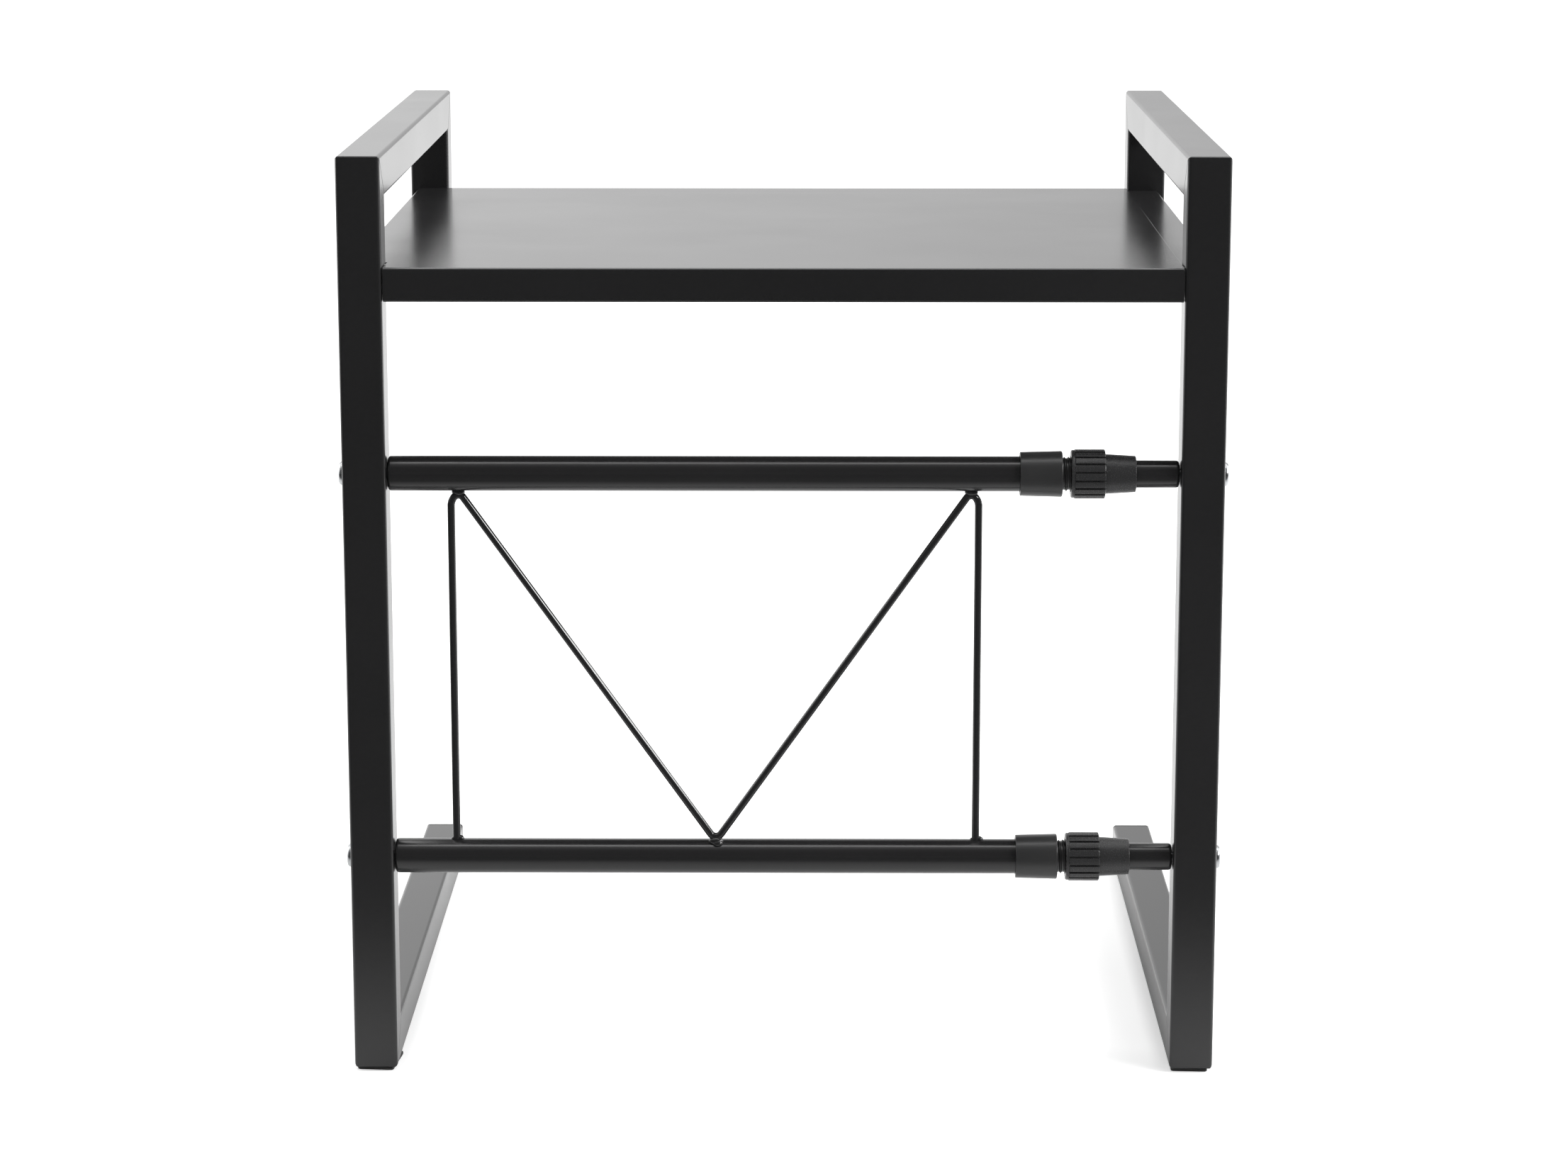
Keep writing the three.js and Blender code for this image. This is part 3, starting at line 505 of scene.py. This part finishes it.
def pan_head(head_radius, head_height, shank_radius, shank_length):
    """A cross-recess fastener along Z with its head on height 0 and its shank below."""
    bm = bmesh.new()
    bmesh.ops.create_grid(bm, x_segments=HEAD_CELLS, y_segments=HEAD_CELLS, size=1)
    outermost = HEAD_CELLS // 2
    rounding = head_height * HEAD_ROUND_SHARE
    crown = head_radius - rounding
    lines = (0, RECESS_WIDTH / 2, RECESS_SPAN / 2)
    cross = []
    for face in bm.faces:
        column, row = (abs(c) * outermost for c in face.calc_center_median().xy)
        if min(column, row) < 1 and max(column, row) < 2:
            cross.append(face)
    for vert in bm.verts:
        x, y = vert.co.xy
        column, row = round(abs(x) * outermost), round(abs(y) * outermost)
        if max(column, row) == outermost:
            vert.co.xy = Vector((x, y)).normalized() * crown
        else:
            vert.co.x = math.copysign(lines[column], x)
            vert.co.y = math.copysign(lines[row], y)
        vert.co.z = head_height - HEAD_DOME * (vert.co.xy.length / crown) ** 2
    rim = [e for e in bm.edges if e.is_boundary]
    sunk = bmesh.ops.extrude_face_region(bm, geom=cross)
    bmesh.ops.delete(bm, geom=cross, context="FACES")
    scale_round(bm, verts_in(sunk["geom"]), RECESS_TAPER, RECESS_DEPTH)
    radius, height = crown, head_height - HEAD_DOME
    fall = height - HEAD_FOOT_SHARE * head_height
    profile = []
    for step in range(1, HEAD_STEPS + 1):
        angle = math.pi / 2 * step / HEAD_STEPS
        profile.append((crown + rounding * math.sin(angle), height - fall * (1 - math.cos(angle))))
    profile += [(head_radius, 0), (shank_radius, 0), (shank_radius, -shank_length)]
    for next_radius, next_height in profile:
        rim = pull_edge(bm, rim, Vector((0, 0, 0)))
        verts = list({v for e in rim for v in e.verts})
        scale_round(bm, verts, next_radius / radius, height - next_height)
        radius, height = next_radius, next_height
    bmesh.ops.contextual_create(bm, geom=rim)
    bmesh.ops.recalc_face_normals(bm, faces=bm.faces)
    return bm


def add_fastener(node, body, sign, head_height, shank_radius, spin):
    """Puts a fastener where its solid is, head outwards; spin turns its cross."""
    low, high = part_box(node)
    seat = (high.x if sign > 0 else low.x) - sign * head_height
    length = high.x - low.x - head_height
    bm = pan_head((high.y - low.y) / 2, head_height, shank_radius, length)
    outwards = Matrix.Rotation(sign * math.pi / 2, 4, "Y")
    turn = outwards @ Matrix.Rotation(math.radians(spin), 4, "Z")
    place = Matrix.Translation((seat, (low.y + high.y) / 2, (low.z + high.z) / 2))
    bmesh.ops.transform(bm, matrix=place @ turn, verts=bm.verts)
    add_piece(f"{node}_head", bm, zinc_steel, body, "zinc_steel", node)


for side, body in SIDES:
    for end in ("near", "far"):
        add_fastener(
            f"{side}_{end}_shelf_screw", body, OUTWARDS[side], SCREW_HEAD_HEIGHT, SCREW_SHANK,
            next(CROSS_TURNS),
        )
    for level in ("upper", "lower"):
        add_fastener(
            f"{level}_{side}_rod_bolt", body, OUTWARDS[side], BOLT_HEAD_HEIGHT, BOLT_SHANK,
            next(CROSS_TURNS),
        )


# Telescoping rods: two round steel tubes bolted to the left leg and two thinner ones that slide
# in them, bolted to the right leg. The ends at the legs are rolled in over threaded plugs.
ROD_WALL = 1 * MM
ROD_ROLL = 1.5 * MM
ROD_STEPS = 64
ARC_STEPS = 5


def turned(profile):
    """A round piece about the X axis, spun from a closed profile of places and radii."""
    bm = bmesh.new()
    verts = [bm.verts.new((x, 0, radius)) for x, radius in profile]
    for first, second in zip(verts, verts[1:] + verts[:1]):
        bm.edges.new((first, second))
    bmesh.ops.spin(
        bm, geom=bm.verts[:] + bm.edges[:], cent=(0, 0, 0), axis=(1, 0, 0),
        angle=2 * math.pi, steps=ROD_STEPS, use_merge=True,
    )
    bmesh.ops.remove_doubles(bm, verts=bm.verts, dist=SAME_PLACE)
    bmesh.ops.recalc_face_normals(bm, faces=bm.faces)
    return bm


def arc(x, radius, round_x, round_r, start, end):
    """Profile points of a quarter round about a centre, by angles from the X axis."""
    turns = [start + (end - start) * i / ARC_STEPS for i in range(ARC_STEPS + 1)]
    angles = [math.radians(turn) for turn in turns]
    return [(x + round_x * math.cos(a), radius + round_r * math.sin(a)) for a in angles]


def rod_profile(rolled_x, open_x, radius):
    """Tube profile with the end at rolled_x curled in."""
    inwards = 1 if open_x > rolled_x else -1
    centre = rolled_x + inwards * ROD_ROLL
    outside = arc(centre, radius - ROD_ROLL, inwards * ROD_ROLL, ROD_ROLL, 180, 90)
    inner = ROD_ROLL - ROD_WALL
    inside = arc(centre, radius - ROD_ROLL, inwards * inner, inner, 90, 180)
    return [*outside, (open_x, radius), (open_x, radius - ROD_WALL), *inside]


def on_rod(bm, level):
    """Moves a piece turned about the X axis onto a rod's axis."""
    low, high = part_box(f"{level}_outer_rod")
    axis = (0, (low.y + high.y) / 2, (low.z + high.z) / 2)
    bmesh.ops.translate(bm, vec=axis, verts=bm.verts)
    return bm


for level in ("upper", "lower"):
    low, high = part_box(f"{level}_outer_rod")
    rod = on_rod(turned(rod_profile(low.x, high.x, (high.z - low.z) / 2)), level)
    add_piece(
        f"{level}_fixed_tube", rod, black_coat, "fixed_side", "black_coat", f"{level}_outer_rod"
    )
    low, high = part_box(f"{level}_inner_rod")
    rod = on_rod(turned(rod_profile(high.x, low.x, (high.z - low.z) / 2)), level)
    add_piece(
        f"{level}_sliding_tube", rod, black_coat, "sliding_side", "black_coat", f"{level}_inner_rod"
    )
    for plug in (f"{level}_left_rod_plug", f"{level}_right_rod_plug"):
        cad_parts[plug].material_slots[0].material = zinc_steel
    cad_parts[f"{level}_glide_bush"].material_slots[0].material = black_plastic


# Lock collars: satin plastic sleeves pressed over the ends of the fixed tubes, a little wider
# towards the lock. Each ends in a neck with a coarse moulded thread for the lock nut.
COLLAR_LENGTH = 19.2 * MM
COLLAR_START_RADIUS = 10 * MM
COLLAR_END_RADIUS = 10.45 * MM
COLLAR_BORE = 8.3 * MM
COLLAR_SEAT = 16 * MM
COLLAR_MOUTH = 0.3 * MM
COLLAR_ROUND = 0.55 * MM
NECK_ROOT = 7.2 * MM
NECK_BORE = 6.55 * MM
THREAD_START = 0.2 * MM
THREAD_RISE = 0.55 * MM
THREAD_CREST_END = 0.85 * MM
THREAD_WIDTH = 1.4 * MM
THREAD_CREST = 7.85 * MM
THREAD_FOOT = 7.1 * MM
THREAD_PITCH = 2 * MM
THREAD_TURNS = 4
THREAD_STEPS = 40

for level in ("upper", "lower"):
    node = f"{level}_lock_collar"
    low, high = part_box(node)
    lock_face = low.x + COLLAR_LENGTH
    mouth_x, mouth_radius = low.x + COLLAR_MOUTH, COLLAR_START_RADIUS - COLLAR_MOUTH
    round_x, round_radius = lock_face - COLLAR_ROUND, COLLAR_END_RADIUS - COLLAR_ROUND
    collar = turned(
        [
            (low.x, COLLAR_BORE),
            *arc(mouth_x, mouth_radius, COLLAR_MOUTH, COLLAR_MOUTH, 180, 90),
            *arc(round_x, round_radius, COLLAR_ROUND, COLLAR_ROUND, 90, 0),
            (lock_face, NECK_ROOT),
            (high.x, NECK_ROOT),
            (high.x, NECK_BORE),
            (low.x + COLLAR_SEAT, NECK_BORE),
            (low.x + COLLAR_SEAT, COLLAR_BORE),
        ]
    )
    ridge_x = lock_face + THREAD_START
    ridge_profile = (
        (0, THREAD_FOOT),
        (THREAD_RISE, THREAD_CREST),
        (THREAD_CREST_END, THREAD_CREST),
        (THREAD_WIDTH, THREAD_FOOT),
    )
    ridge = [collar.verts.new((ridge_x + dx, 0, radius)) for dx, radius in ridge_profile]
    bmesh.ops.spin(
        collar, geom=[collar.faces.new(ridge)], cent=(0, 0, 0), axis=(1, 0, 0),
        angle=THREAD_TURNS * 2 * math.pi, steps=THREAD_TURNS * THREAD_STEPS,
        dvec=(THREAD_PITCH / THREAD_STEPS, 0, 0),
    )
    bmesh.ops.recalc_face_normals(collar, faces=collar.faces)
    on_rod(collar, level)
    sleeve = f"{level}_collar_sleeve"
    add_piece(sleeve, collar, black_plastic, "fixed_side", "black_plastic", node)


# Lock nuts: grained plastic nuts that screw onto the collar's neck and squeeze it on the sliding
# tube. Eighteen broad ribs with narrow grooves give grip, and a tapered nose closes on the tube.
NUT_LENGTH = 15.5 * MM
NUT_ROOT = 10.3 * MM
NUT_CREST = 11.2 * MM
NUT_CHAMFER = 0.5 * MM
NUT_RIM = 1.6 * MM
NUT_RIM_RADIUS = 10.95 * MM
NUT_END = 0.3 * MM
NUT_BORE = 8.15 * MM
NUT_CAVITY = 9.3 * MM
NUT_CONE = 4 * MM
RIB_COUNT = 18
RIB_SHARE = 0.75
RIB_STEPS = 4
RIB_ROOT = 10.1 * MM
RIB_FOOT = 8.9 * MM
RIB_START = 0.4 * MM
RIB_END = 0.6 * MM
RIB_ROUND = 0.16 * MM
NOSE_BASE = 9.1 * MM
NOSE_TIP = 8.3 * MM
NOSE_BORE = 6.55 * MM
NOSE_ROUND = 0.5 * MM
NUT_ROUGHNESS = 0.20
NUT_PEBBLES = 2100
NUT_PEBBLE_ROUGHNESS = 0.12
NUT_SPARKS = 4200
NUT_SPARK_SHARE = 0.6
NUT_GRAIN_DEPTH = 0.07 * MM
NUT_IOR = 1.46

grained_plastic, shade = new_finish("grained_plastic")
spark = grain(shade, NUT_SPARKS)
pebble = grain(shade, NUT_PEBBLES)
lay_on(
    shade,
    Base_Color=two_tone(shade, pebble, PLASTIC_COLOUR, PLASTIC_COLOUR_WORN),
    Roughness=NUT_ROUGHNESS + NUT_PEBBLE_ROUGHNESS * pebble,
    Normal=relief(shade, pebble + NUT_SPARK_SHARE * spark, NUT_GRAIN_DEPTH),
    IOR=NUT_IOR,
)

for level in ("upper", "lower"):
    node = f"{level}_lock_nut"
    low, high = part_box(node)
    rim_end = low.x + NUT_RIM
    grip_end = low.x + NUT_LENGTH
    nut = turned(
        [
            (low.x, NUT_BORE),
            (low.x, NUT_RIM_RADIUS - NUT_CHAMFER),
            (low.x + NUT_CHAMFER, NUT_RIM_RADIUS),
            (rim_end, NUT_RIM_RADIUS),
            (rim_end, NUT_ROOT),
            (grip_end - NUT_END, NUT_ROOT),
            (grip_end - NUT_END, NOSE_BASE),
            *arc(high.x - NOSE_ROUND, NOSE_TIP - NOSE_ROUND, NOSE_ROUND, NOSE_ROUND, 90, 0),
            (high.x, NOSE_BORE),
            (low.x + NUT_CAVITY + NUT_CONE, NOSE_BORE),
            (low.x + NUT_CAVITY, NUT_BORE),
        ]
    )
    rib_profile = [
        (rim_end, RIB_ROOT),
        *arc(rim_end + RIB_START, NUT_CREST - RIB_START, RIB_START, RIB_START, 180, 90),
        *arc(grip_end - RIB_END, NUT_CREST - RIB_END, RIB_END, RIB_END, 90, 0),
        (grip_end, RIB_FOOT),
    ]
    pitch = 2 * math.pi / RIB_COUNT
    for number in range(RIB_COUNT):
        turn = Matrix.Rotation(pitch * number, 3, "X")
        places = [turn @ Vector((x, 0, radius)) for x, radius in rib_profile]
        rib = nut.faces.new([nut.verts.new(place) for place in places])
        bmesh.ops.spin(
            nut, geom=[rib], cent=(0, 0, 0), axis=(1, 0, 0),
            angle=pitch * RIB_SHARE, steps=RIB_STEPS,
        )
    bmesh.ops.recalc_face_normals(nut, faces=nut.faces)
    soften(nut, RIB_ROUND)
    on_rod(nut, level)
    grip = f"{level}_lock_grip"
    add_piece(grip, nut, grained_plastic, f"{level}_lock", "grained_plastic", node)


# Brace wire: one round steel wire bent into two uprights and a V between the fixed tubes, coated
# black and glossier than the tubes. Its feet and apex are welded to the lower tube and its two
# top bends to the upper one.
WIRE_RADIUS = 1.75 * MM
WIRE_SIDES = 20
WIRE_FIT = 0.3 * MM
WIRE_SINK = 0.8 * MM
WIRE_EASE_BEND = 6.5 * MM
WIRE_EASE_TURN = math.radians(38)
WIRE_TOP_BEND = 2.6 * MM
WIRE_APEX_BEND = 3 * MM
WIRE_APEX_LEAN = math.radians(12)
WIRE_BEND_STEPS = 14
WIRE_MERGE = 1e-6
COAT_GLOSS = 0.06

gloss_coat = coat_finish("gloss_coat", COAT_GLOSS)


def slope(angle):
    """A direction in the wire's plane, by its angle up from the X axis."""
    return Vector((math.cos(angle), 0, math.sin(angle)))


wire_low, wire_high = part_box("brace_wire")
lower_low, lower_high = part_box("lower_outer_rod")
upper_low, upper_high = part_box("upper_outer_rod")
rod_radius = (upper_high.z - upper_low.z) / 2
rod_y = (upper_low.y + upper_high.y) / 2
lower_z = (lower_low.z + lower_high.z) / 2
upper_z = (upper_low.z + upper_high.z) / 2
contact = rod_radius + WIRE_RADIUS + WIRE_FIT
upright_x = wire_low.x + WIRE_RADIUS
foot_z = wire_low.z - WIRE_SINK
top_z = upper_z - contact - WIRE_TOP_BEND
ease_arm = (WIRE_EASE_BEND - WIRE_TOP_BEND) * slope(-WIRE_EASE_TURN)
top_centre = Vector((upright_x + WIRE_EASE_BEND - ease_arm.x, rod_y, top_z))
ease_centre = top_centre + ease_arm
apex_x = (wire_low.x + wire_high.x) / 2
apex_y = rod_y - contact * math.sin(WIRE_APEX_LEAN)
apex_z = lower_z + contact * math.cos(WIRE_APEX_LEAN) + WIRE_APEX_BEND
apex_centre = Vector((apex_x, apex_y, apex_z))
run = apex_centre.x - top_centre.x
fall = top_centre.z - apex_centre.z
across = math.acos((WIRE_TOP_BEND + WIRE_APEX_BEND) / math.hypot(run, fall))
slant = across - math.atan2(fall, run)


def bend_ring(bm, ring, centre, angle):
    """Carries an open end of the wire round a bend and returns its new end."""
    made = bmesh.ops.spin(
        bm, geom=ring, cent=centre, axis=(0, 1, 0), angle=angle, steps=WIRE_BEND_STEPS
    )
    return edges_in(made["geom_last"])


wire = bmesh.new()
bmesh.ops.create_circle(
    wire, cap_ends=True, radius=WIRE_RADIUS, segments=WIRE_SIDES,
    matrix=Matrix.Translation((upright_x, rod_y, foot_z)),
)
ring = pull_edge(wire, wire.edges[:], Vector((0, 0, ease_centre.z - foot_z)))
ring = bend_ring(wire, ring, ease_centre, WIRE_EASE_TURN)
ring = bend_ring(wire, ring, top_centre, math.pi - WIRE_EASE_TURN - slant)
bend_end = top_centre + WIRE_TOP_BEND * slope(slant)
apex_start = apex_centre - WIRE_APEX_BEND * slope(slant)
ring = pull_edge(wire, ring, apex_start - bend_end)
bend_ring(wire, ring, apex_centre, slant - math.pi / 2)
mirror_plane = Matrix.Translation((-apex_x, 0, 0))
bmesh.ops.mirror(
    wire, geom=all_of(wire), matrix=mirror_plane, merge_dist=WIRE_MERGE, axis="X"
)
bmesh.ops.remove_doubles(wire, verts=wire.verts, dist=WIRE_MERGE)
bmesh.ops.recalc_face_normals(wire, faces=wire.faces)
add_piece("brace_rod", wire, gloss_coat, "fixed_side", "black_coat", "brace_wire")


# Welds: beads of steel where the wire meets the tubes, coated with them. There is one round each
# top bend, a large and a small one at each foot, and two that run together over the apex.
WELD_FINENESS = 3
WELD_LUMPS = 0.08
WELD_LUMP_SCALE = 1.3
WELD_LUMP_STRIDE = 7.0
TOP_BEAD = (3.1, 2.3, 1.7)
TOP_BEAD_DROP = 0.6 * MM
FOOT_BEAD = (1.8, 1.7, 1.65)
FOOT_SMALL_BEAD = (0.8, 1.3, 0.8)
APEX_BEAD = (3.5, 2.5, 2.1)
APEX_BEAD_LEAN = 20
APEX_BEAD_OUT = 8.4 * MM
APEX_SMALL_BEAD = (2.3, 1.9, 1.5)
APEX_SMALL_BEAD_LEAN = 30
APEX_SMALL_BEAD_OUT = 8.3 * MM
APEX_SMALL_BEAD_ASIDE = 0.8 * MM

top_bead_z = upper_z - rod_radius - TOP_BEAD_DROP
foot_bead_z = lower_z + rod_radius
beads = []
for mirror in (1, -1):
    bend_x = apex_x + mirror * (top_centre.x - apex_x)
    leg_x = apex_x + mirror * (upright_x - apex_x)
    beads.append((Vector((bend_x, rod_y, top_bead_z)), 0, 0, TOP_BEAD))
    beads.append((Vector((leg_x + WIRE_RADIUS, rod_y, foot_bead_z)), 0, 0, FOOT_BEAD))
    beads.append((Vector((leg_x - WIRE_RADIUS, rod_y, foot_bead_z)), 0, 0, FOOT_SMALL_BEAD))
apex_axis = Vector((apex_x, rod_y, lower_z))
small_axis = apex_axis + Vector((APEX_SMALL_BEAD_ASIDE, 0, 0))
beads.append((apex_axis, APEX_BEAD_LEAN, APEX_BEAD_OUT, APEX_BEAD))
beads.append((small_axis, APEX_SMALL_BEAD_LEAN, APEX_SMALL_BEAD_OUT, APEX_SMALL_BEAD))

welds = bmesh.new()
for number, (place, lean, out, size) in enumerate(beads):
    lump = bmesh.ops.create_icosphere(welds, subdivisions=WELD_FINENESS, radius=MM)["verts"]
    start = Vector((WELD_LUMP_STRIDE * number, 0, 0))
    for vert in lump:
        vert.co *= 1 + WELD_LUMPS * noise.noise(vert.co / MM * WELD_LUMP_SCALE + start)
    bmesh.ops.scale(welds, vec=size, verts=lump)
    bmesh.ops.translate(welds, vec=(0, 0, out), verts=lump)
    turn = Matrix.Rotation(math.radians(lean), 4, "X")
    bmesh.ops.transform(welds, matrix=Matrix.Translation(place) @ turn, verts=lump)
add_piece("brace_welds", welds, gloss_coat, "fixed_side", "black_coat")


# Studio floor: a large flat sheet of matt pale paint under the foot pads. It glows enough to be
# white to the lens. In front of the shelf, glossy rays see it nearly black: a painted dark
# reflection on the object's near faces.
WHITE = (1, 1, 1, 1)
FLOOR_SIZE = 14
FLOOR_COLOUR = (0.8, 0.8, 0.8, 1)
# Painted dark reflection: the floor's colour as glossy rays see it in front of the shelf.
FLOOR_DIM = (0.06, 0.06, 0.06, 1)
FLOOR_DIM_START = -0.12
FLOOR_DIM_END = -0.5
FLOOR_GLOW = 0.43
FLOOR_MIRROR_GLOW = 0.05
FLOOR_FAR_START = 0.5
FLOOR_FAR_END = 2.5


def ramp(shade, value, start, end, first, last):
    """A soft step from first to last while the value goes from start to end."""
    return shade.node(
        "ShaderNodeMapRange", {"interpolation_type": "SMOOTHSTEP"},
        {"Value": value, "From Min": start, "From Max": end, "To Min": first, "To Max": last},
    )


white_floor, shade = new_finish("white_floor")
seen = shade.node("ShaderNodeLightPath", {}, {}, "Is Camera Ray")
mirrored = shade.node("ShaderNodeLightPath", {}, {}, "Is Glossy Ray")
floor_place = shade.node("ShaderNodeTexCoord", {}, {}, "Object")
reach = shade.node("ShaderNodeVectorMath", {"operation": "LENGTH"}, {0: floor_place}, "Value")
far = ramp(shade, reach, FLOOR_FAR_START, FLOOR_FAR_END, 0.0, 1.0)
floor_y = shade.node("ShaderNodeSeparateXYZ", {}, {"Vector": floor_place}, "Y")
# Painted dark reflection: only glossy rays see the floor in front of the shelf as nearly black.
dim = ramp(shade, floor_y, FLOOR_DIM_START, FLOOR_DIM_END, 0.0, 1.0) * mirrored
floor_colour = two_tone(shade, dim, FLOOR_COLOUR, FLOOR_DIM)
paint = shade.node("ShaderNodeBsdfDiffuse", {}, {"Color": floor_colour})
seen_glow = (FLOOR_GLOW + (1 - FLOOR_GLOW) * far) * seen
mirror_glow = (FLOOR_MIRROR_GLOW + (1 - FLOOR_MIRROR_GLOW) * far) * mirrored * (1 - dim)
glow_inputs = {"Color": WHITE, "Strength": seen_glow + mirror_glow}
glow = shade.node("ShaderNodeEmission", {}, glow_inputs)
floor_look = shade.node("ShaderNodeAddShader", {}, {0: paint, 1: glow})
shade.node("ShaderNodeOutputMaterial", {}, {"Surface": floor_look})

floor_bm = bmesh.new()
bmesh.ops.create_grid(floor_bm, x_segments=1, y_segments=1, size=FLOOR_SIZE)
floor_mesh = bpy.data.meshes.new("studio_floor")
floor_bm.to_mesh(floor_mesh)
floor_bm.free()
floor_mesh.materials.append(white_floor)
studio_floor = bpy.data.objects.new("studio_floor", floor_mesh)
bpy.context.collection.objects.link(studio_floor)


# Room and lamps: a white room that reflections show as dim in front of the shelf and a little
# brighter on the left. Of the four soft lamps, one is above the shelf, one on each side, and a
# bright strip at the near right.
ROOM_LIGHT = 0.5
ROOM_DARK = 0.08
ROOM_DARK_DEPTH = -0.75
ROOM_LIT_DEPTH = 0.1
ROOM_LEFT = 1.22
ROOM_RIGHT = 0.78
ROOM_MIDDLE = 0.25
SOFTBOXES = (
    ("top_softbox", (0.0, 0.2, 1.9), (0, 0, 0.2), 1.8, 1.4, 30),
    ("left_softbox", (-1.6, 0.3, 0.9), (0, 0, 0.25), 1.0, 1.4, 12),
    ("right_softbox", (1.6, 0.3, 0.9), (0, 0, 0.25), 1.0, 1.4, 12),
    ("strip_softbox", (2.093, -0.653, 1.37), (0, -0.17, 0.3), 2.0, 0.5, 60),
)

world = bpy.data.worlds.new("studio_room")
bpy.context.scene.world = world
world.use_nodes = True
world.node_tree.nodes.clear()
room = Shade(world.node_tree)
camera_path = room.node("ShaderNodeLightPath", {}, {}, "Is Camera Ray")
glossy = room.node("ShaderNodeLightPath", {}, {}, "Is Glossy Ray")
clear = room.node("ShaderNodeLightPath", {}, {}, "Is Transmission Ray")
direction = room.node("ShaderNodeTexCoord", {}, {}, "Generated")
depth = room.node("ShaderNodeSeparateXYZ", {}, {"Vector": direction}, "Y")
aside = room.node("ShaderNodeSeparateXYZ", {}, {"Vector": direction}, "X")
bright_side = ramp(room, aside, -ROOM_MIDDLE, ROOM_MIDDLE, ROOM_LEFT, ROOM_RIGHT)
lit = ramp(room, depth, ROOM_DARK_DEPTH, ROOM_LIT_DEPTH, ROOM_DARK, 1.0) * bright_side
shown = room.maths("MAXIMUM", glossy, clear)
strength = camera_path + (1 - camera_path) * (shown * lit + (1 - shown) * ROOM_LIGHT)
sky = room.node("ShaderNodeBackground", {}, {"Color": WHITE, "Strength": strength})
room.node("ShaderNodeOutputWorld", {}, {"Surface": sky})

for name, place, aim, width, height, power in SOFTBOXES:
    lamp = bpy.data.lights.new(name, "AREA")
    lamp.shape = "RECTANGLE"
    lamp.size = width
    lamp.size_y = height
    lamp.energy = power
    lamp_object = bpy.data.objects.new(name, lamp)
    lamp_object.location = place
    towards = Vector(aim) - Vector(place)
    lamp_object.rotation_euler = towards.to_track_quat("-Z", "Y").to_euler()
    bpy.context.collection.objects.link(lamp_object)


# Camera: it stands in front of the rods, a little above the shelf, and looks slightly down with a
# long lens. The colours go to the picture without a film curve.
CAMERA_PLACE = (0.0124, -1.9523, 0.6007)
CAMERA_PITCH = 11.79
CAMERA_YAW = 0.39
CAMERA_LENS = 91.4
CAMERA_SENSOR = 36
CAMERA_REACH = 50

lens =bpy.data.cameras.new("photo_camera")
lens.sensor_width = CAMERA_SENSOR
lens.lens = CAMERA_LENS
lens.clip_end = CAMERA_REACH
camera = bpy.data.objects.new("photo_camera", lens)
camera.location = CAMERA_PLACE
camera.rotation_euler = (math.radians(90 - CAMERA_PITCH), 0, math.radians(CAMERA_YAW))
bpy.context.collection.objects.link(camera)
bpy.context.scene.camera = camera
bpy.context.scene.view_settings.view_transform = "Standard"
